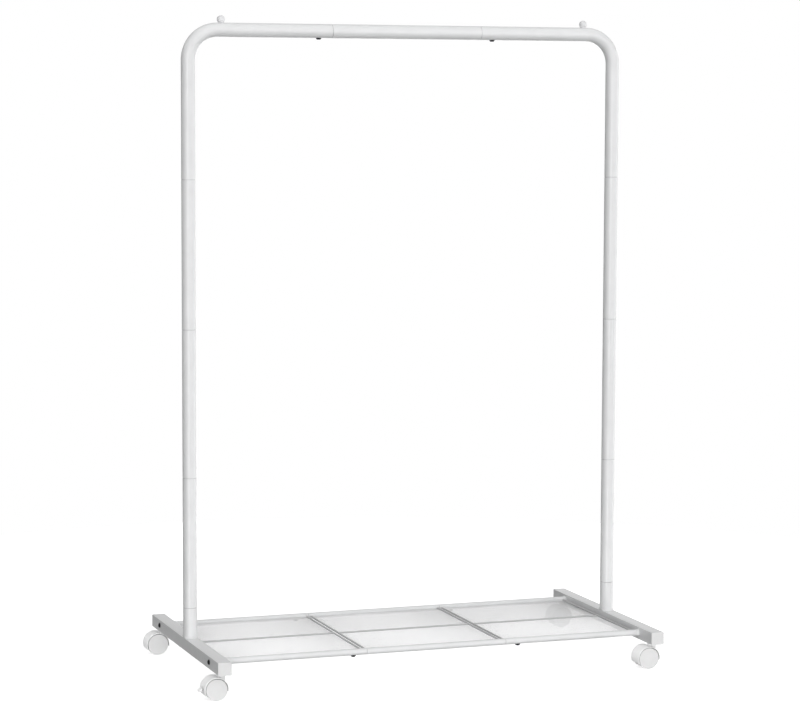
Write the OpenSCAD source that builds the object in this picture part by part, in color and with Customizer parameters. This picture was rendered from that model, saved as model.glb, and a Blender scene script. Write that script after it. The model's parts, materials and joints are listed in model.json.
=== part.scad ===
/* [Overall] */
// Distance between the two post axes
post_span = 1068; // [980:2:1200]
// Height of the hanging bar's axis above the floor
bar_z = 1509; // [1460:1:1600]
// Gap left between two tubes that plug together
seam_gap = 0.6; // [0.2:0.1:1]
// Chamfer on the rim of every tube end at a seam
seam_edge = 0.5; // [0.2:0.1:0.8]

/* [Feet] */
// Length of a foot over its end plugs
foot_l = 600; // [560:2:700]
// Width of the square foot tube
foot_w = 32; // [30:1:34]
// Height of the foot tube
foot_h = 30; // [28:1:32]
// Height of the foot's underside above the floor
foot_z = 60; // [60:0.5:64]
// Wall of the foot tube
foot_wall = 1.5; // [1.2:0.1:2]
// Outer corner radius of the foot tube
foot_r = 2; // [1.5:0.1:2.5]
// Thickness of an end plug's head
plug_head = 2; // [1.5:0.1:3]
// Depth of an end plug inside the tube
plug_depth = 18; // [12:1:20]

/* [Posts and hanging bar] */
// Outer diameter of the posts, elbows and hanging bar
post_d = 33; // [32:1:34]
// Wall of the round tubes
post_wall = 1.2; // [1:0.1:1.5]
// Height of the seam between the stub and the lower post
stub_top = 161.6; // [150:0.2:180]
// Height of the seam between the lower and middle posts
lower_top = 468; // [440:1:500]
// Height of the seam between the middle and upper posts
middle_top = 816; // [780:1:850]
// Height of the seam between the upper post and the elbow
upper_top = 1164; // [1120:1:1200]
// Bend radius of an elbow, on its centre line
bend_r = 70; // [64:1:80]
// Length of the hanging bar's middle section between its seams
bar_mid_l = 374; // [340:2:400]
// Length of a reduced tube end inside the next tube
spigot_l = 45; // [40:1:60]
// Distance from a bar seam to its screw
bar_screw_in = 31; // [24:1:36]
// Height and width of the weld bead around a stub
weld = 2.4; // [2:0.2:4]
// Distance from the bar's middle to a stop ball
ball_x = 455; // [440:1:460]
// Diameter of a stop ball
ball_d = 19; // [16:0.1:20]
// Depth a stop ball is sunk over the bar
ball_sink = 2; // [1:0.1:3]

/* [Shelf] */
// Distance between the axes of the front and rear rails
rail_span = 448; // [420:2:460]
// Height of the rail axes
rail_z = 77; // [76:0.5:78]
// Outer diameter of a rail
rail_d = 15; // [15:0.5:16]
// Wall of a rail
rail_wall = 1; // [0.8:0.1:1.1]
// Length of the rails' middle sections between their seams
rail_mid_l = 346; // [320:2:380]
// Distance from a rail seam to its screw
rail_screw_in = 32; // [24:1:36]
// Diameter of the shelf wires
wire_d = 4; // [3:0.5:5]
// Space between the cross wires of two neighbouring shelf panels
wire_gap = 6.8; // [1:0.2:10]
// Space between the outermost cross wire and the foot
wire_end_gap = 6; // [4:0.5:10]
// Thickness of the wire mesh
mesh_t = 1.2; // [1:0.1:1.6]

/* [Casters] */
// Distance between the caster stems of one foot
stem_span = 530; // [500:2:536]
// Diameter of a wheel
wheel_d = 50; // [48:1:50]
// Thickness of one wheel
wheel_t = 14.5; // [12:0.5:16]
// Thickness of the hood's web between the two wheels
web_t = 12; // [12:0.5:14]
// Horizontal distance from the stem to the axle
trail = 15; // [14:0.5:16]
// Space between a wheel and the hood
wheel_gap = 1.4; // [1:0.1:1.6]
// Thickness of the hood's shell
hood_t = 2; // [1.6:0.1:2.4]
// Lower end of the hood on the stem's side, in degrees below level
hood_front_a = 10; // [0:1:20]
// Lower end of the hood on the trailing side, in degrees below level
hood_back_a = 25; // [20:1:32]
// Reach of a brake pedal beyond the axle
pedal_reach = 38; // [36:0.5:42]

/* [Fasteners] */
// Diameter of the foot bolts
foot_bolt_d = 6; // [5:0.5:6]
// Diameter of the bar and rail screws
screw_d = 5; // [4:0.5:5]
// Head diameter of the bolts and screws
head_d = 12; // [10:0.5:12]
// Head height of the bolts and screws
head_h = 3.2; // [2.5:0.1:4]

/* [Hidden] */

$fn = 96;
eps = 0.01;

post_x = post_span / 2;
post_r = post_d / 2;
post_in_r = post_r - post_wall;
spigot_clear = 0.3;
spigot_r = post_in_r - spigot_clear;
spigot_in_r = spigot_r - post_wall;
bar_seam_x = bar_mid_l / 2;
bar_screw_x = bar_seam_x + bar_screw_in;
bar_top = bar_z + post_r;

foot_top = foot_z + foot_h;
foot_in_x = post_x - foot_w / 2;
foot_out_x = post_x + foot_w / 2;
foot_tube_l = foot_l - 2 * plug_head;

rail_y = rail_span / 2;
rail_r = rail_d / 2;
rail_in_r = rail_r - rail_wall;
rail_spigot_r = rail_in_r - 0.2;
rail_spigot_in_r = rail_spigot_r - rail_wall;
rail_seam_x = rail_mid_l / 2;
rail_screw_x = rail_seam_x + rail_screw_in;
rail_collar_r = rail_r + 1.2;
rail_collar_l = 7;
insert_l = 26;

wire_r = wire_d / 2;
wire_y = rail_y - rail_r - 0.05;
wire_mid_x = rail_seam_x - wire_gap / 2 - wire_r;
wire_out_x = rail_seam_x + wire_gap / 2 + wire_r;
wire_end_x = foot_in_x - wire_end_gap - wire_r;
mesh_top = rail_z - wire_r - 0.05;
mesh_y = wire_y - 0.1;

wheel_r = wheel_d / 2;
well_r = wheel_r + wheel_gap;
hood_r = well_r + hood_t;
web_clear = 0.5;
wheel_y = web_t / 2 + web_clear;
hood_w = 2 * (wheel_y + wheel_t) + 1.2;
axle_r = 2.5;
axle_clear = 0.05;
boss_r = 10.5;
boss_top = foot_z - 3.4;
pintle_r = 3.5;
pintle_bottom = 31;
stem_r = 4;
stem_top = foot_z + 20;
stem_nut_h = 3;
pin_r = 1.5;
pivot_x = -17;
pivot_z = 3;
slot_w = 5.6;
blade_t = 5;
paddle_w = 18;

head_r = head_d / 2;
clear = 0.25;
thread_clear = 0.1;

// The origin stands on the floor under the middle of the whole outline, so the rack's
// own middle plane lies at mid_x: the casters trail to one side
mid_x = (trail + pedal_reach - foot_w / 2 - head_h - 0.05) / 2;

white = [0.93, 0.93, 0.93];
plastic = [0.9, 0.9, 0.9];
black = [0.12, 0.12, 0.12];
steel = [0.7, 0.7, 0.72];

// ---- shared shapes ----

module rack() {
    translate([mid_x, 0, 0]) children();
}

// Left side as drawn, right side mirrored
module side(s) {
    if (s < 0) children();
    else mirror([1, 0, 0]) children();
}

// A tube along +Z whose far end is reduced to plug into the next tube; edge is the
// chamfer on its near end
module spigot_tube(l, out_r, in_r, plug_r, plug_in_r, edge) {
    shoulder = l - seam_gap;
    tip = l + spigot_l;
    rotate_extrude()
        polygon([
            [in_r, 0], [out_r - edge, 0], [out_r, edge],
            [out_r, shoulder - seam_edge], [out_r - seam_edge, shoulder], [plug_r, shoulder],
            [plug_r, tip - 1], [plug_r - 0.6, tip], [plug_in_r, tip],
            [plug_in_r, l - 8], [in_r, l - 12]
        ]);
}

// What a chamfer takes off the rim of a tube of radius r that starts at z = 0
module rim_cut(r) {
    rotate_extrude()
        polygon([
            [r - seam_edge - 0.1, -0.1], [r + 1, -0.1], [r + 1, seam_edge + 1]
        ]);
}

module post_section(s, z0, z1) {
    rack() translate([s * post_x, 0, z0])
        spigot_tube(z1 - z0, post_r, post_in_r, spigot_r, spigot_in_r, seam_edge);
}

// A rounded bar of square section along +Y, centred on X and Z
module rounded_bar(w, h, r, l) {
    rotate([-90, 0, 0]) linear_extrude(l) union() {
        square([w - 2 * r, h], center = true);
        square([w, h - 2 * r], center = true);
        for (sx = [-1, 1], sy = [-1, 1])
            translate([sx * (w / 2 - r), sy * (h / 2 - r)]) circle(r);
    }
}

// A button head with a hexagon socket on a plain shank along +Z, its seat at z = 0
module socket_screw(d, l) {
    difference() {
        union() {
            translate([0, 0, -head_h * 0.4]) cylinder(r = head_r, h = head_h * 0.4);
            translate([0, 0, -head_h]) cylinder(r1 = head_r * 0.66, r2 = head_r, h = head_h * 0.6 + eps);
            cylinder(r = d / 2, h = l);
        }
        translate([0, 0, -head_h - 1]) cylinder(r = d * 0.36, h = 1 + head_h * 0.75, $fn = 6);
    }
}

// A hexagonal bush along +Z with a tapped bore
module hex_bush(d, across, h) {
    difference() {
        cylinder(r = across / 2 / cos(30), h = h, $fn = 6);
        translate([0, 0, -1]) cylinder(r = d / 2 + thread_clear, h = h + 2);
    }
}

// A nut block that lies on the bottom of a tube along X whose inner radius is r
module saddle_nut(d, r, h, l) {
    difference() {
        intersection() {
            translate([-l / 2, 0, 0]) rotate([0, 90, 0]) cylinder(r = r - 0.05, h = l);
            translate([-l, -d, -r]) cube([2 * l, 2 * d, h]);
        }
        translate([0, 0, -r - 1]) cylinder(r = d / 2 + thread_clear, h = h + 2);
    }
}

// ---- feet ----

module foot_tube() {
    translate([-post_x, -foot_tube_l / 2, foot_z + foot_h / 2]) difference() {
        rounded_bar(foot_w, foot_h, foot_r, foot_tube_l);
        translate([0, -1, 0])
            rounded_bar(foot_w - 2 * foot_wall, foot_h - 2 * foot_wall, foot_r / 2, foot_tube_l + 2);
        for (s = [-1, 1]) {
            translate([-foot_w, foot_tube_l / 2 + s * rail_y, rail_z - foot_z - foot_h / 2])
                rotate([0, 90, 0]) cylinder(d = foot_bolt_d + 2 * clear, h = 2 * foot_w);
            translate([0, foot_tube_l / 2 + s * stem_span / 2, -foot_h])
                cylinder(r = stem_r + clear, h = foot_h);
        }
    }
}

module left_foot_tube() {
    color(white) rack() side(-1) foot_tube();
}

module right_foot_tube() {
    color(white) rack() side(1) foot_tube();
}

module post_stub() {
    translate([-post_x, 0, foot_top]) {
        spigot_tube(stub_top - foot_top, post_r, post_in_r, spigot_r, spigot_in_r, 0);
        intersection() {
            rotate_extrude()
                polygon([
                    [post_r - eps, 0], [post_r + weld, 0], [post_r + weld * 0.8, weld * 0.35],
                    [post_r + weld * 0.3, weld], [post_r - eps, weld * 1.6]
                ]);
            translate([0.5 - foot_w / 2, -2 * post_r, -1])
                cube([foot_w - 1, 4 * post_r, 3 * weld]);
        }
    }
}

module left_post_stub() {
    color(white) rack() side(-1) post_stub();
}

module right_post_stub() {
    color(white) rack() side(1) post_stub();
}

// End plug of a foot: a flat head and a hollow body pushed into the tube
module foot_plug(sx, sy) {
    in_w = foot_w - 2 * foot_wall - 0.4;
    in_h = foot_h - 2 * foot_wall - 0.4;
    rack() translate([sx * post_x, sy * foot_tube_l / 2, foot_z + foot_h / 2])
        rotate([0, 0, sy > 0 ? 0 : 180]) {
            rounded_bar(foot_w, foot_h, foot_r, plug_head);
            translate([0, -plug_depth, 0]) difference() {
                rounded_bar(in_w, in_h, foot_r / 2, plug_depth + eps);
                translate([0, -1, 0])
                    rounded_bar(in_w - 4, in_h - 4, foot_r / 2, plug_depth - 1);
            }
        }
}

module front_left_plug() {
    color(plastic) foot_plug(-1, -1);
}

module rear_left_plug() {
    color(plastic) foot_plug(-1, 1);
}

module front_right_plug() {
    color(plastic) foot_plug(1, -1);
}

module rear_right_plug() {
    color(plastic) foot_plug(1, 1);
}

// Threaded bushes inside the feet that take the caster stems
module caster_sockets() {
    color(steel) rack()
        for (sx = [-1, 1], sy = [-1, 1])
            translate([sx * post_x, sy * stem_span / 2, foot_z + foot_wall + 0.05])
                hex_bush(2 * stem_r, 14, foot_h - 2 * foot_wall - 4);
}

// ---- posts and hanging bar ----

module left_post_lower() {
    color(white) post_section(-1, stub_top, lower_top);
}

module left_post_middle() {
    color(white) post_section(-1, lower_top, middle_top);
}

module left_post_upper() {
    color(white) post_section(-1, middle_top, upper_top);
}

module right_post_lower() {
    color(white) post_section(1, stub_top, lower_top);
}

module right_post_middle() {
    color(white) post_section(1, lower_top, middle_top);
}

module right_post_upper() {
    color(white) post_section(1, middle_top, upper_top);
}

// The elbow's path as a solid rod of radius r, its open ends run past by extra
module elbow_rod(r, extra) {
    translate([-post_x, 0, upper_top - extra])
        cylinder(r = r, h = bar_z - bend_r - upper_top + extra);
    translate([-post_x + bend_r, 0, bar_z - bend_r])
        rotate([90, 0, 0]) rotate([0, 0, 90]) rotate_extrude(angle = 90)
            translate([bend_r, 0]) circle(r);
    translate([-post_x + bend_r, 0, bar_z]) rotate([0, 90, 0])
        cylinder(r = r, h = post_x - bend_r - bar_seam_x + extra);
}

module elbow() {
    difference() {
        elbow_rod(post_r, 0);
        elbow_rod(post_in_r, 1);
        translate([-bar_screw_x, 0, bar_z - post_r - 1])
            cylinder(d = screw_d + 2 * clear, h = post_r);
        translate([-ball_x, 0, bar_z])
            cylinder(r = screw_d / 2 + thread_clear, h = post_r + 1);
        translate([-post_x, 0, upper_top]) rim_cut(post_r);
        translate([-bar_seam_x, 0, bar_z]) rotate([0, -90, 0]) rim_cut(post_r);
    }
}

module left_elbow() {
    color(white) rack() side(-1) elbow();
}

module right_elbow() {
    color(white) rack() side(1) elbow();
}

// Middle section of the hanging bar, reduced at both ends, with a screw hole in each
module bar_middle() {
    color(white) rack() translate([0, 0, bar_z]) difference() {
        union()
            for (s = [0, 1]) mirror([s, 0, 0]) rotate([0, 90, 0])
                spigot_tube(bar_seam_x, post_r, post_in_r, spigot_r, spigot_in_r, 0);
        for (s = [-1, 1])
            translate([s * bar_screw_x, 0, -post_r - 1])
                cylinder(d = screw_d + 2 * clear, h = post_r);
    }
}

// A ball seated on the bar with a threaded stud; it keeps hangers from sliding into the bend
module stop_ball() {
    translate([-ball_x, 0, bar_top]) {
        difference() {
            translate([0, 0, ball_d / 2 - ball_sink]) sphere(d = ball_d);
            translate([-ball_d, 0, -post_r]) rotate([0, 90, 0])
                cylinder(r = post_r + 0.1, h = 2 * ball_d);
        }
        translate([0, 0, -10]) cylinder(d = screw_d, h = 12);
    }
}

module left_stop_ball() {
    color(plastic) rack() side(-1) stop_ball();
}

module right_stop_ball() {
    color(plastic) rack() side(1) stop_ball();
}

module bar_weld_nuts() {
    color(steel) rack()
        for (s = [-1, 1])
            translate([s * bar_screw_x, 0, bar_z]) saddle_nut(screw_d, spigot_in_r, 5, 12);
}

module bar_screws() {
    color(black) rack()
        for (s = [-1, 1])
            translate([s * bar_screw_x, 0, bar_z - post_r - 0.05]) socket_screw(screw_d, 10);
}

// ---- shelf ----

// Outer section of a rail on the left side: a plain tube with a collar at the foot
module rail_outer(sy) {
    l = foot_in_x - rail_seam_x;
    translate([-foot_in_x, sy * rail_y, rail_z]) rotate([0, 90, 0]) difference() {
        union() {
            cylinder(r = rail_r, h = l);
            translate([0, 0, 0.1]) cylinder(r = rail_collar_r, h = rail_collar_l);
        }
        translate([0, 0, -1]) cylinder(r = rail_in_r, h = l + 2);
        translate([0, 0, foot_in_x - rail_screw_x]) rotate([0, 90, 0])
            cylinder(d = screw_d + 2 * clear, h = 2 * rail_r);
        translate([0, 0, l]) mirror([0, 0, 1]) rim_cut(rail_r);
    }
}

module rail_middle(sy) {
    rack() translate([0, sy * rail_y, rail_z]) difference() {
        union()
            for (s = [0, 1]) mirror([s, 0, 0]) rotate([0, 90, 0])
                spigot_tube(rail_seam_x, rail_r, rail_in_r, rail_spigot_r, rail_spigot_in_r, 0);
        for (s = [-1, 1])
            translate([s * rail_screw_x, 0, -2 * rail_r])
                cylinder(d = screw_d + 2 * clear, h = 2 * rail_r);
    }
}

module front_rail_left() {
    color(white) rack() side(-1) rail_outer(-1);
}

module front_rail_middle() {
    color(white) rail_middle(-1);
}

module front_rail_right() {
    color(white) rack() side(1) rail_outer(-1);
}

module rear_rail_left() {
    color(white) rack() side(-1) rail_outer(1);
}

module rear_rail_middle() {
    color(white) rail_middle(1);
}

module rear_rail_right() {
    color(white) rack() side(1) rail_outer(1);
}

// Threaded inserts pressed into the rail ends for the foot bolts
module rail_end_inserts() {
    color(steel) rack()
        for (s = [-1, 1], sy = [-1, 1])
            side(s) translate([-foot_in_x + 0.5, sy * rail_y, rail_z]) rotate([0, 90, 0])
                difference() {
                    cylinder(r = rail_in_r - 0.1, h = insert_l);
                    translate([0, 0, -1])
                        cylinder(r = foot_bolt_d / 2 + thread_clear, h = insert_l - 3);
                }
}

module rail_weld_nuts() {
    color(steel) rack()
        for (s = [-1, 1], sy = [-1, 1])
            translate([s * rail_screw_x, sy * rail_y, rail_z])
                saddle_nut(screw_d, rail_spigot_in_r, 4, 9);
}

module rail_screws() {
    color(black) rack()
        for (s = [-1, 1], sy = [-1, 1])
            translate([s * rail_screw_x, sy * rail_y, rail_z - rail_r - 0.05])
                socket_screw(screw_d, 9);
}

// Bolts that pass through the feet into the rail ends
module foot_bolts() {
    color(black) rack()
        for (s = [-1, 1], sy = [-1, 1])
            side(s) translate([-foot_out_x - 0.05, sy * rail_y, rail_z]) rotate([0, 90, 0])
                socket_screw(foot_bolt_d, foot_w + insert_l - 8);
}

// Two cross wires and one long wire, which meet end to side
module shelf_wires(x0, x1) {
    rack() {
        for (x = [x0, x1])
            translate([x, -wire_y, rail_z]) rotate([-90, 0, 0]) cylinder(r = wire_r, h = 2 * wire_y);
        translate([x0 + wire_r + 0.05, 0, rail_z]) rotate([0, 90, 0])
            cylinder(r = wire_r, h = x1 - x0 - 2 * wire_r - 0.1);
    }
}

// Closed outline of the wire mesh spot-welded under the wires
module shelf_mesh(x0, x1) {
    rack() translate([x0 - wire_r, -mesh_y, mesh_top - mesh_t])
        cube([x1 - x0 + 2 * wire_r, 2 * mesh_y, mesh_t]);
}

module shelf_left_wires() {
    color(white) shelf_wires(-wire_end_x, -wire_out_x);
}

module shelf_middle_wires() {
    color(white) shelf_wires(-wire_mid_x, wire_mid_x);
}

module shelf_right_wires() {
    color(white) shelf_wires(wire_out_x, wire_end_x);
}

module shelf_left_mesh() {
    color(white) shelf_mesh(-wire_end_x, -wire_out_x);
}

module shelf_middle_mesh() {
    color(white) shelf_mesh(-wire_mid_x, wire_mid_x);
}

module shelf_right_mesh() {
    color(white) shelf_mesh(wire_out_x, wire_end_x);
}

// ---- casters ----

// Moves a caster's shapes from their own frame, stem axis at the origin and front side
// at -Y, to a corner of the rack; every caster trails towards -X
module corner(sx, sy) {
    rack() translate([sx * post_x, sy * stem_span / 2, 0]) children();
}

// Studs screwed into the feet, with a hexagon flange and a plain pintle below
module caster_stems() {
    color(steel)
        for (sx = [-1, 1], sy = [-1, 1]) corner(sx, sy) {
            translate([0, 0, pintle_bottom]) cylinder(r = pintle_r, h = foot_z - pintle_bottom);
            translate([0, 0, foot_z - stem_nut_h]) cylinder(r = 7.5, h = stem_nut_h - 0.05, $fn = 6);
            translate([0, 0, foot_z - 1]) cylinder(r = stem_r, h = stem_top - foot_z + 1);
        }
}

// A disc or slice along Y, centred on the axle
module axle_disc(r, w) {
    translate([-trail, w / 2, wheel_r]) rotate([90, 0, 0]) cylinder(r = r, h = w);
}

// The wedge below the hood that its two lower ends stop at
module hood_cut() {
    reach = 2 * hood_r;
    translate([-trail, hood_w, wheel_r]) rotate([90, 0, 0]) linear_extrude(2 * hood_w)
        polygon([
            [0, 0],
            [-reach * cos(hood_back_a), -reach * sin(hood_back_a)],
            [-reach, -2 * reach],
            [reach, -2 * reach],
            [reach * cos(hood_front_a), -reach * sin(hood_front_a)]
        ]);
}

// Hood over both wheels with the web that carries the axle and turns on the pintle
module hood(braked) {
    difference() {
        union() {
            difference() {
                axle_disc(hood_r, hood_w);
                axle_disc(well_r, hood_w + 2);
                hood_cut();
            }
            difference() {
                axle_disc(well_r + eps, web_t);
                translate([-trail - hood_r, -hood_w, -hood_r])
                    cube([2 * hood_r, 2 * hood_w, hood_r + wheel_r - 8]);
            }
            difference() {
                translate([0, 0, wheel_r]) cylinder(r = boss_r, h = boss_top - wheel_r);
                for (s = [-1, 1])
                    translate([0, s * (web_t / 2 + hood_w / 2), 0]) axle_disc(well_r, hood_w);
                translate([-boss_r, -boss_r, 0])
                    cube([2 * boss_r, 2 * boss_r, wheel_r + 12]);
            }
        }
        translate([0, 0, pintle_bottom - 1]) cylinder(r = pintle_r + axle_clear, h = foot_z);
        axle_disc(axle_r + axle_clear, web_t + 2);
        if (braked) {
            translate([-trail - hood_r - 5, -slot_w / 2, wheel_r - 10])
                cube([hood_r + 5 - 11.5, slot_w, 18]);
            translate([-trail + pivot_x, 0, wheel_r + pivot_z]) rotate([90, 0, 0])
                cylinder(r = pin_r + axle_clear, h = web_t + 2, center = true);
        }
    }
}

// One wheel: a solid tread with chamfered edges and a slightly domed outer face, outer
// side at -Y
module wheel() {
    rim = 1.6;
    edge = 0.6;
    bore_r = axle_r + axle_clear;
    translate([-trail, -wheel_y, wheel_r]) rotate([90, 0, 0]) rotate_extrude()
        polygon([
            [bore_r, 0], [wheel_r - rim, 0], [wheel_r, rim],
            [wheel_r, wheel_t - edge], [wheel_r - edge, wheel_t],
            [wheel_r / 2, wheel_t + 0.4], [0, wheel_t + 0.5],
            [0, wheel_t - 3], [bore_r, wheel_t - 3]
        ]);
}

// Fixed in the hood's web; both wheels turn on its ends
module axle() {
    axle_disc(axle_r, 2 * (wheel_y + wheel_t - 3.1));
}

// Pedal that swings down to lock the caster: a blade in the web's slot and a wide paddle
module pedal() {
    translate([-trail, 0, wheel_r]) difference() {
        union() {
            translate([0, blade_t / 2, 0]) rotate([90, 0, 0]) linear_extrude(blade_t)
                polygon([
                    [-13, 0.5], [-13, 5.5], [-20, 6], [-hood_r - 2.5, 3.5],
                    [-hood_r - 2.5, -2], [-20, 0]
                ]);
            translate([0, paddle_w / 2, 0]) rotate([90, 0, 0]) linear_extrude(paddle_w)
                polygon([
                    [-hood_r - 1.4, 2.2], [-hood_r - 1.8, 4.2], [-pedal_reach + 2.5, 1],
                    [-pedal_reach + 0.6, -1], [-pedal_reach, -3], [-pedal_reach + 0.6, -4.6],
                    [-pedal_reach + 2.4, -5], [-hood_r - 2.6, -2]
                ]);
        }
        translate([pivot_x, 0, pivot_z]) rotate([90, 0, 0])
            cylinder(r = pin_r + axle_clear, h = paddle_w, center = true);
    }
}

module pedal_pin() {
    translate([-trail + pivot_x, 0, wheel_r + pivot_z]) rotate([90, 0, 0])
        cylinder(r = pin_r, h = web_t, center = true);
}

module front_left_hood() {
    color(plastic) corner(-1, -1) hood(true);
}

module front_left_axle() {
    color(steel) corner(-1, -1) axle();
}

module front_left_wheel_outer() {
    color(plastic) corner(-1, -1) wheel();
}

module front_left_wheel_inner() {
    color(plastic) corner(-1, -1) mirror([0, 1, 0]) wheel();
}

module front_right_hood() {
    color(plastic) corner(1, -1) hood(false);
}

module front_right_axle() {
    color(steel) corner(1, -1) axle();
}

module front_right_wheel_outer() {
    color(plastic) corner(1, -1) wheel();
}

module front_right_wheel_inner() {
    color(plastic) corner(1, -1) mirror([0, 1, 0]) wheel();
}

module rear_left_hood() {
    color(plastic) corner(-1, 1) hood(false);
}

module rear_left_axle() {
    color(steel) corner(-1, 1) axle();
}

module rear_left_wheel_outer() {
    color(plastic) corner(-1, 1) mirror([0, 1, 0]) wheel();
}

module rear_left_wheel_inner() {
    color(plastic) corner(-1, 1) wheel();
}

module rear_right_hood() {
    color(plastic) corner(1, 1) hood(true);
}

module rear_right_axle() {
    color(steel) corner(1, 1) axle();
}

module rear_right_wheel_outer() {
    color(plastic) corner(1, 1) mirror([0, 1, 0]) wheel();
}

module rear_right_wheel_inner() {
    color(plastic) corner(1, 1) wheel();
}

module front_left_pedal() {
    color(plastic) corner(-1, -1) pedal();
}

module rear_right_pedal() {
    color(plastic) corner(1, 1) pedal();
}

module front_left_pedal_pin() {
    color(steel) corner(-1, -1) pedal_pin();
}

module rear_right_pedal_pin() {
    color(steel) corner(1, 1) pedal_pin();
}

left_foot_tube();
right_foot_tube();
left_post_stub();
right_post_stub();
front_left_plug();
rear_left_plug();
front_right_plug();
rear_right_plug();
caster_sockets();
left_post_lower();
left_post_middle();
left_post_upper();
right_post_lower();
right_post_middle();
right_post_upper();
left_elbow();
right_elbow();
bar_middle();
left_stop_ball();
right_stop_ball();
bar_weld_nuts();
bar_screws();
front_rail_left();
front_rail_middle();
front_rail_right();
rear_rail_left();
rear_rail_middle();
rear_rail_right();
rail_end_inserts();
rail_weld_nuts();
rail_screws();
foot_bolts();
shelf_left_wires();
shelf_middle_wires();
shelf_right_wires();
shelf_left_mesh();
shelf_middle_mesh();
shelf_right_mesh();
caster_stems();
front_left_hood();
front_left_axle();
front_left_wheel_outer();
front_left_wheel_inner();
front_right_hood();
front_right_axle();
front_right_wheel_outer();
front_right_wheel_inner();
rear_left_hood();
rear_left_axle();
rear_left_wheel_outer();
rear_left_wheel_inner();
rear_right_hood();
rear_right_axle();
rear_right_wheel_outer();
rear_right_wheel_inner();
front_left_pedal();
rear_right_pedal();
front_left_pedal_pin();
rear_right_pedal_pin();
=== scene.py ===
"""A rolling clothes rack: white powder-coated tube, a wire mesh shelf and twin-wheel casters.

Everything is in metres in the CAD model's own frame: +X along the hanging bar, +Y to the
rear, +Z up, the origin on the floor under the middle of the rack's box.
"""
import json
import math

import bmesh
import bpy
from mathutils import Matrix, Vector


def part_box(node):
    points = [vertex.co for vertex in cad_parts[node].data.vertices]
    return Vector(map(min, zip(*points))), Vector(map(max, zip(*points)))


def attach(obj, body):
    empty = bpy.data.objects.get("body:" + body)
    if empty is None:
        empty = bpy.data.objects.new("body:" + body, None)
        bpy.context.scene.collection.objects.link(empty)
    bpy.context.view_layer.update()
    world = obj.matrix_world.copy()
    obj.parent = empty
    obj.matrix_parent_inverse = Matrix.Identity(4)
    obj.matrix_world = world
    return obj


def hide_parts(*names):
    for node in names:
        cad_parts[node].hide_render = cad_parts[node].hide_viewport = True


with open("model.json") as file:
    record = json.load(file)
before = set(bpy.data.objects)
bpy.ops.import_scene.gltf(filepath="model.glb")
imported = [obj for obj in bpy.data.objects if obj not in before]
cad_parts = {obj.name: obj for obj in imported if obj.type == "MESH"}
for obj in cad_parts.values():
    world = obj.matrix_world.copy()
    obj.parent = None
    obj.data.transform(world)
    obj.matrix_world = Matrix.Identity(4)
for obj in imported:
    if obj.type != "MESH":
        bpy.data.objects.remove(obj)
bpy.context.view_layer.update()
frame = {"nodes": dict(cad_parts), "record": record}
nodes = frame["nodes"]


# ---- places read from the CAD model ----

def middle(node):
    """The middle of a node's box."""
    lo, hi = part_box(node)
    return (Vector(lo) + Vector(hi)) / 2


PANELS = ("left", "middle", "right")


# ---- materials ----

def new_material(name):
    mat = bpy.data.materials.new(name)
    mat.use_nodes = True
    tree = mat.node_tree
    return mat, tree, tree.nodes["Principled BSDF"]


def add(tree, kind, **values):
    """A node with its input sockets set by name."""
    n = tree.nodes.new(kind)
    for key, value in values.items():
        n.inputs[key.replace("_", " ")].default_value = value
    return n


def mottle(tree, coords, scale, detail, low, high):
    """Noise in real units, mapped to the range low to high."""
    noise = add(tree, "ShaderNodeTexNoise", Scale=scale, Detail=detail)
    tree.links.new(coords.outputs["Object"], noise.inputs["Vector"])
    span = add(
        tree, "ShaderNodeMapRange", From_Min=0.3, From_Max=0.7, To_Min=low, To_Max=high
    )
    tree.links.new(noise.outputs["Fac"], span.inputs["Value"])
    return span.outputs["Result"]


def blend(tree, factor, start, end):
    """A colour mix; each end is a colour or another node's output."""
    mix = tree.nodes.new("ShaderNodeMix")
    mix.data_type = "RGBA"
    tree.links.new(factor, mix.inputs["Factor"])
    for socket, colour in (("A", start), ("B", end)):
        if isinstance(colour, tuple):
            mix.inputs[socket].default_value = (*colour, 1)
        else:
            tree.links.new(colour, mix.inputs[socket])
    return mix.outputs["Result"]


# How far a gap's sides are looked for, the colour of the painted shade in a gap, and the open
# share of a point's surroundings below which it has the painted shade and above which it has its
# own colour
GAP_REACH = 0.004
GAP_SHADE_COLOUR = (0.10, 0.10, 0.10)
GAP_CLOSED = 0.15
GAP_OPEN = 0.65


def paint_gap_shade(tree, colour):
    """The colour with painted shade: darkened where another surface is only a few millimetres
    away.
    """
    around = add(tree, "ShaderNodeAmbientOcclusion", Distance=GAP_REACH)
    around.samples = 8
    open_share = add(
        tree, "ShaderNodeMapRange", From_Min=GAP_CLOSED, From_Max=GAP_OPEN
    )
    tree.links.new(around.outputs["AO"], open_share.inputs["Value"])
    return blend(tree, open_share.outputs["Result"], GAP_SHADE_COLOUR, colour)


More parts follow.
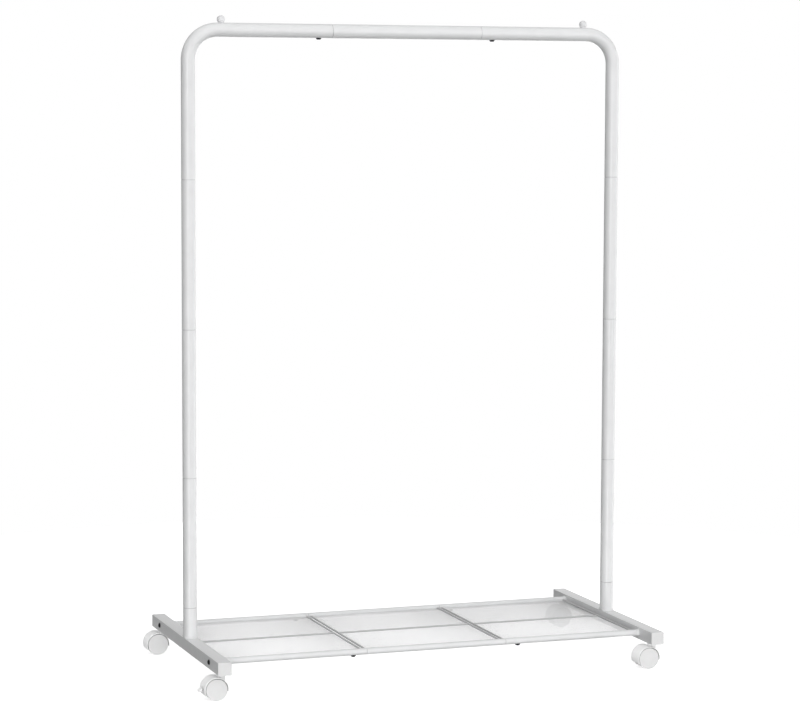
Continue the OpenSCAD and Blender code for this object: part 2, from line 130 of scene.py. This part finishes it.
def finish_coat(name, dark, light, rough, peel_scale, peel, metallic=0.0, depth=0.0,
                gaps=False):
    """A painted, moulded or plated surface. Its colour and gloss vary slightly over a few
    centimetres, and a fine bump gives it orange peel, moulding grain or plating grain. In
    milky plastic the light spreads over the given depth. With gaps on, narrow gaps get
    painted shade: the colour is darkened where another surface is close."""
    mat, tree, shader = new_material(name)
    coords = tree.nodes.new("ShaderNodeTexCoord")
    colour = blend(tree, mottle(tree, coords, 28, 4, 0, 1), dark, light)
    # painted shade in narrow gaps
    if gaps:
        colour = paint_gap_shade(tree, colour)
    tree.links.new(colour, shader.inputs["Base Color"])
    tree.links.new(mottle(tree, coords, 60, 3, *rough), shader.inputs["Roughness"])
    grain = add(tree, "ShaderNodeTexNoise", Scale=peel_scale, Detail=2.0)
    tree.links.new(coords.outputs["Object"], grain.inputs["Vector"])
    bump = add(tree, "ShaderNodeBump", Strength=peel, Distance=0.0002)
    tree.links.new(grain.outputs["Fac"], bump.inputs["Height"])
    tree.links.new(bump.outputs["Normal"], shader.inputs["Normal"])
    shader.inputs["Metallic"].default_value = metallic
    if depth:
        shader.inputs["Subsurface Weight"].default_value = 1.0
        shader.inputs["Subsurface Radius"].default_value = (1, 1, 1)
        shader.inputs["Subsurface Scale"].default_value = depth
    return mat


MATERIALS = {
    "frame_paint": finish_coat(
        "white_powder_coat", (0.79, 0.795, 0.80), (0.82, 0.825, 0.83), (0.16, 0.18), 900, 0.1
    ),
    # The same white coat as the mesh, made darker: painted shade on the shelf's wires and welds
    "wire_paint": finish_coat(
        "white_coated_wire_darkened_as_shade", (0.58, 0.58, 0.585), (0.62, 0.62, 0.625), (0.42, 0.5), 1200, 0.2
    ),
    "fine_mesh": finish_coat(
        "white_coated_mesh", (0.86, 0.86, 0.865), (0.90, 0.90, 0.905), (0.42, 0.5), 1200, 0.2
    ),
    "plug_plastic": finish_coat(
        "white_plug_plastic", (0.79, 0.79, 0.79), (0.82, 0.82, 0.82), (0.4, 0.5), 2500, 0.3,
        depth=0.001,
    ),
    # The caster and wheel plastics get painted shade in their narrow gaps
    "caster_plastic": finish_coat(
        "white_caster_plastic", (0.84, 0.84, 0.84), (0.88, 0.88, 0.88), (0.35, 0.45), 2200, 0.2,
        depth=0.001, gaps=True,
    ),
    "wheel_plastic": finish_coat(
        "white_wheel_plastic", (0.73, 0.73, 0.73), (0.76, 0.76, 0.76), (0.4, 0.5), 1800, 0.25,
        depth=0.001, gaps=True,
    ),
    "ball_plastic": finish_coat(
        "white_ball_plastic", (0.78, 0.78, 0.79), (0.80, 0.80, 0.81), (0.25, 0.32), 1500, 0.1
    ),
    "black_steel": finish_coat(
        "black_oxide_steel", (0.018, 0.018, 0.02), (0.035, 0.035, 0.038), (0.38, 0.5), 3000, 0.3,
        metallic=0.6,
    ),
    # Dark metal for the rings in the seams between tubes: painted shade for the shadow in the
    # gaps
    "seam_shade_steel": finish_coat(
        "dark_steel_for_seam_shade", (0.24, 0.24, 0.25), (0.30, 0.30, 0.31), (0.35, 0.45), 2500, 0.25,
        metallic=1.0,
    ),
    "zinc_steel": finish_coat(
        "zinc_plated_steel", (0.52, 0.53, 0.55), (0.66, 0.67, 0.69), (0.3, 0.42), 2500, 0.25,
        metallic=1.0,
    ),
}


def paint(obj, name):
    """One of the materials above, on every material slot of the object."""
    if not obj.material_slots:
        obj.data.materials.append(MATERIALS[name])
    for s in obj.material_slots:
        s.material = MATERIALS[name]


for part in frame["record"]["subparts"]:
    paint(nodes[part["node"]], part["material_slot"])


# ---- mesh pieces ----

def piece(name, bm, slot, body, finish=None):
    """A new object that rides on a body, from a bmesh in the CAD model's coordinates. Its
    material is the one of its record slot, unless another finish is named."""
    bmesh.ops.recalc_face_normals(bm, faces=bm.faces)
    mesh = bpy.data.meshes.new(name)
    bm.to_mesh(mesh)
    bm.free()
    for face in mesh.polygons:
        face.use_smooth = True
    obj = bpy.data.objects.new(name, mesh)
    bpy.context.scene.collection.objects.link(obj)
    paint(obj, finish or slot)
    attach(obj, body)
    return obj


def tube(bm, centre, axis, radius, length, sides, closed):
    """A straight cylinder, open or closed at its ends."""
    turn = Vector(axis).to_track_quat("Z", "Y").to_matrix().to_4x4()
    bmesh.ops.create_cone(
        bm, cap_ends=closed, segments=sides, radius1=radius, radius2=radius,
        depth=length, matrix=Matrix.Translation(centre) @ turn,
    )


def wire(bm, start, end):
    """One straight wire of the mesh."""
    start, end = Vector(start), Vector(end)
    axis = end - start
    tube(bm, (start + end) / 2, axis, MESH_WIRE, axis.length, sides=6, closed=True)


def bead(bm, centre, size):
    """A small squashed blob of weld."""
    place = Matrix.Translation(centre) @ Matrix.Diagonal((*size, 1))
    bmesh.ops.create_icosphere(bm, subdivisions=2, radius=1, matrix=place)


# The distance between the mesh's wires, and their radius
MESH_PITCH = 0.0024
MESH_WIRE = 0.0002
# From the panel's edge to the first wire, and to the ends of the wires
MESH_EDGE = 0.0012
MESH_END = 0.0002


def even_steps(low, high):
    """The places of the wires between two edges of a mesh panel."""
    span = high - low - 2 * MESH_EDGE
    count = round(span / MESH_PITCH)
    return [low + MESH_EDGE + span * i / count for i in range(count + 1)]


def mesh_panel(side):
    """Square wire mesh in two layers: long wires below, cross wires on top."""
    node = f"shelf_{side}_mesh"
    lo, hi = map(Vector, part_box(node))
    middle_z = (lo.z + hi.z) / 2
    bm = bmesh.new()
    for y in even_steps(lo.y, hi.y):
        z = middle_z - MESH_WIRE
        wire(bm, (lo.x + MESH_END, y, z), (hi.x - MESH_END, y, z))
    for x in even_steps(lo.x, hi.x):
        z = middle_z + MESH_WIRE
        wire(bm, (x, lo.y + MESH_END, z), (x, hi.y - MESH_END, z))
    obj = piece(f"wire_mesh_{side}", bm, "wire_paint", "frame", "fine_mesh")
    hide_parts(node)
    return obj


# The welds' half sizes along x, y and z, in wire radii
WELD_AT_RAIL = (1.25, 0.8, 1.15)
WELD_AT_CROSSING = (0.7, 1.2, 1.1)


def wire_welds(side):
    """Weld blobs where the shelf's wires meet the rails and each other."""
    lo, hi = map(Vector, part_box(f"shelf_{side}_wires"))
    r = (hi.z - lo.z) / 2
    z = (hi.z + lo.z) / 2
    bm = bmesh.new()
    for x in (lo.x + r, hi.x - r):
        for y in (lo.y, hi.y):
            bead(bm, (x, y, z), [r * k for k in WELD_AT_RAIL])
    for x in (lo.x + 2 * r, hi.x - 2 * r):
        bead(bm, (x, (lo.y + hi.y) / 2, z), [r * k for k in WELD_AT_CROSSING])
    piece(f"wire_welds_{side}", bm, "wire_paint", "frame")


mesh_pieces = [mesh_panel(panel) for panel in PANELS]
for panel in PANELS:
    wire_welds(panel)


# The width of the seams and of the dark rings in them, which are painted shade for the shadow in
# the seams, and how far the rings lie below the paint
SEAM = 0.0006
SEAM_SHADE_WIDTH = SEAM * 0.96
POST_SEAM_DEPTH = 0.00145
RAIL_SEAM_DEPTH = 0.0011


def seam_shade_ring(bm, centre, axis, radius):
    """A dark metal ring in the seam between two tubes: painted shade for the shadow in the gap.
    """
    tube(bm, centre, axis, radius, SEAM_SHADE_WIDTH, sides=64, closed=False)


def seams():
    """Dark rings of painted shade in all the seams of the posts, the hanging bar and the rails.
    """
    bar_lo, bar_hi = map(Vector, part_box("bar_middle"))
    radius = (bar_hi.z - bar_lo.z) / 2 - POST_SEAM_DEPTH
    bm = bmesh.new()
    for side in ("left", "right"):
        for section in ("post_lower", "post_middle", "post_upper"):
            node = f"{side}_{section}"
            base = middle(node)
            base.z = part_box(node)[0][2] - SEAM / 2
            seam_shade_ring(bm, base, (0, 0, 1), radius)
        lo, hi = map(Vector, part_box(f"{side}_elbow"))
        inner, sign = (hi.x, 1) if side == "left" else (lo.x, -1)
        base = middle(f"{side}_post_upper")
        base.z = lo.z - SEAM / 2
        seam_shade_ring(bm, base, (0, 0, 1), radius)
        centre = Vector((inner + sign * SEAM / 2, 0, (bar_lo.z + bar_hi.z) / 2))
        seam_shade_ring(bm, centre, (1, 0, 0), radius)
    piece("seam_shade_of_posts_and_bar", bm, "frame_paint", "frame", "seam_shade_steel")
    bm = bmesh.new()
    for end in ("front", "rear"):
        rail = middle(f"{end}_rail_middle")
        lo, hi = map(Vector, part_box(f"{end}_rail_middle"))
        radius = (hi.z - lo.z) / 2 - RAIL_SEAM_DEPTH
        for side, k, sign in (("left", 1, 1), ("right", 0, -1)):
            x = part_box(f"{end}_rail_{side}")[k][0] + sign * SEAM / 2
            seam_shade_ring(bm, Vector((x, rail.y, rail.z)), (1, 0, 0), radius)
    piece("seam_shade_of_rails", bm, "frame_paint", "frame", "seam_shade_steel")


seams()


# ---- camera, light and floor ----

CAMERA_YAW = math.radians(19.594)
CAMERA_PITCH = math.radians(5.436)
CAMERA_ROLL = 0.0035
CAMERA_LENS = 118.35
# From the floor under the middle of the hanging bar
CAMERA_OFFSET = (-2.11493, -5.90487, 1.33811)


def camera():
    """The photograph's view: low, from the front left, with a long lens."""
    data = bpy.data.cameras.new("camera")
    data.sensor_width = 36
    data.lens = CAMERA_LENS
    data.clip_end = 50
    obj = bpy.data.objects.new("camera", data)
    forward = Vector((
        math.sin(CAMERA_YAW) * math.cos(CAMERA_PITCH),
        math.cos(CAMERA_YAW) * math.cos(CAMERA_PITCH),
        -math.sin(CAMERA_PITCH),
    ))
    right0 = Vector((math.cos(CAMERA_YAW), -math.sin(CAMERA_YAW), 0))
    up0 = right0.cross(forward)
    right = math.cos(CAMERA_ROLL) * right0 + math.sin(CAMERA_ROLL) * up0
    up = -math.sin(CAMERA_ROLL) * right0 + math.cos(CAMERA_ROLL) * up0
    turn = Matrix((right, up, -forward)).transposed().to_4x4()
    x, y, z = CAMERA_OFFSET
    obj.matrix_world = Matrix.Translation((middle("bar_middle").x + x, y, z)) @ turn
    bpy.context.scene.collection.objects.link(obj)
    bpy.context.scene.camera = obj


# The soft light around the rack: azimuth in degrees from the front towards the right,
# elevation in degrees, spread (a higher power is a narrower patch) and brightness
SOFT_LIGHTS = {
    "left_wall": (-90, 0, 2, 0.10),
    "rear_low": (150, -20, 16, 2.2),
    "rear_wall": (180, 0, 2, 0.27),
    "below": (0, -90, 2, 0.20),
    "ceiling": (0, 90, 2, 0.84),
    "front_high": (0, 30, 12, 2.13),
    "rear_right": (150, 10, 12, 0.40),
}
# Upright light panels: azimuth from and to in degrees, and brightness
LIGHT_PANELS = {
    "key_left": (-38, -26, 5.12),
    "key_right": (-26, -14, 3.31),
    "front": (-14, 0, 0.68),
    "front_right": (15, 35, 2.07),
    "right": (60, 95, 2.02),
    "far_right": (95, 130, 1.44),
}
PANEL_ELEVATION = (-25, 15)


def compute(tree, operation, *values):
    """A Math node; each value is a number or another node's output."""
    n = tree.nodes.new("ShaderNodeMath")
    n.operation = operation
    for socket, value in zip(n.inputs, values):
        if isinstance(value, (int, float)):
            socket.default_value = value
        else:
            tree.links.new(value, socket)
    return n.outputs["Value"]


def soft_light(tree, direction, azimuth, elevation, spread, brightness):
    """One soft patch of light in the studio's surroundings, as a strength value."""
    a, e = math.radians(azimuth), math.radians(elevation)
    dot = tree.nodes.new("ShaderNodeVectorMath")
    dot.operation = "DOT_PRODUCT"
    dot.inputs[1].default_value = (
        math.sin(a) * math.cos(e), -math.cos(a) * math.cos(e), math.sin(e)
    )
    tree.links.new(direction, dot.inputs[0])
    facing = compute(tree, "MAXIMUM", dot.outputs["Value"], 0.0)
    return compute(tree, "MULTIPLY", compute(tree, "POWER", facing, spread), brightness)


def light_panel(tree, direction, start, end, brightness):
    """One upright panel of light with hard edges, as a strength value."""
    parts = tree.nodes.new("ShaderNodeSeparateXYZ")
    tree.links.new(direction, parts.inputs[0])
    front = compute(tree, "MULTIPLY", parts.outputs["Y"], -1.0)
    azimuth = compute(tree, "ARCTAN2", parts.outputs["X"], front)
    elevation = compute(tree, "ARCSINE", parts.outputs["Z"])
    lit = []
    for angle, (low, high) in ((azimuth, (start, end)), (elevation, PANEL_ELEVATION)):
        centre, half = math.radians((low + high) / 2), math.radians((high - low) / 2)
        lit.append(compute(tree, "COMPARE", angle, centre, half))
    return compute(tree, "MULTIPLY", compute(tree, "MULTIPLY", *lit), brightness)


def studio():
    """White surroundings to look at, and a softer, uneven light that falls on the rack."""
    world = bpy.data.worlds.new("studio")
    bpy.context.scene.world = world
    world.use_nodes = True
    tree = world.node_tree
    direction = tree.nodes.new("ShaderNodeTexCoord").outputs["Generated"]
    total = 0.0
    for light in SOFT_LIGHTS.values():
        total = compute(tree, "ADD", total, soft_light(tree, direction, *light))
    for light in LIGHT_PANELS.values():
        total = compute(tree, "ADD", total, light_panel(tree, direction, *light))
    light = tree.nodes["Background"]
    light.inputs["Color"].default_value = (1, 1, 1, 1)
    tree.links.new(total, light.inputs["Strength"])
    seen = tree.nodes.new("ShaderNodeBackground")
    seen.inputs["Color"].default_value = (1, 1, 1, 1)
    path = tree.nodes.new("ShaderNodeLightPath")
    mix = tree.nodes.new("ShaderNodeMixShader")
    tree.links.new(path.outputs["Is Camera Ray"], mix.inputs["Fac"])
    tree.links.new(light.outputs[0], mix.inputs[1])
    tree.links.new(seen.outputs[0], mix.inputs[2])
    tree.links.new(mix.outputs[0], tree.nodes["World Output"].inputs["Surface"])
    bpy.context.scene.view_settings.view_transform = "Standard"


# How wide the fill lights are in the sky, so that their shadows are soft
FILL_ANGLE = math.radians(60)


def fill_light(name, receivers, direction, energy):
    """A wide soft light that only falls on the given objects."""
    group = bpy.data.collections.new(f"lit_by_{name}")
    for obj in receivers:
        group.objects.link(obj)
    data = bpy.data.lights.new(name, "SUN")
    data.energy = energy
    data.angle = FILL_ANGLE
    obj = bpy.data.objects.new(name, data)
    obj.rotation_euler = Vector(direction).to_track_quat("-Z", "Y").to_euler()
    bpy.context.scene.collection.objects.link(obj)
    obj.light_linking.receiver_collection = group


def fill_lights():
    """The milky caster plastic and the fine shelf mesh catch more light than the tubes."""
    casters = [
        nodes[part["node"]] for part in frame["record"]["subparts"]
        if part["material_slot"] in ("caster_plastic", "wheel_plastic")
    ]
    fill_light("caster_fill", casters, (1, 0.35, -0.3), 1.4)
    fill_light("mesh_fill", mesh_pieces, (0.25, 1, -0.35), 1.9)


FLOOR_RADIUS = 2.2
FLOOR_GLOW = 0.62


def white_floor():
    """A plain white floor. It glows, so it takes only the rack's faintest contact shadows. It
    throws no light back up at the rack, and lets the light from below through."""
    bm = bmesh.new()
    bmesh.ops.create_circle(bm, cap_ends=True, segments=96, radius=FLOOR_RADIUS)
    mesh = bpy.data.meshes.new("floor")
    bm.to_mesh(mesh)
    bm.free()
    obj = bpy.data.objects.new("floor", mesh)
    bpy.context.scene.collection.objects.link(obj)
    mat, _, shader = new_material("floor_white")
    shader.inputs["Base Color"].default_value = (0.9, 0.9, 0.9, 1)
    shader.inputs["Roughness"].default_value = 0.9
    shader.inputs["Specular IOR Level"].default_value = 0.0
    shader.inputs["Emission Color"].default_value = (1, 1, 1, 1)
    shader.inputs["Emission Strength"].default_value = FLOOR_GLOW
    mesh.materials.append(mat)
    obj.visible_diffuse = False
    obj.visible_glossy = False
    obj.visible_transmission = False
    obj.visible_shadow = False


camera()
studio()
fill_lights()
white_floor()
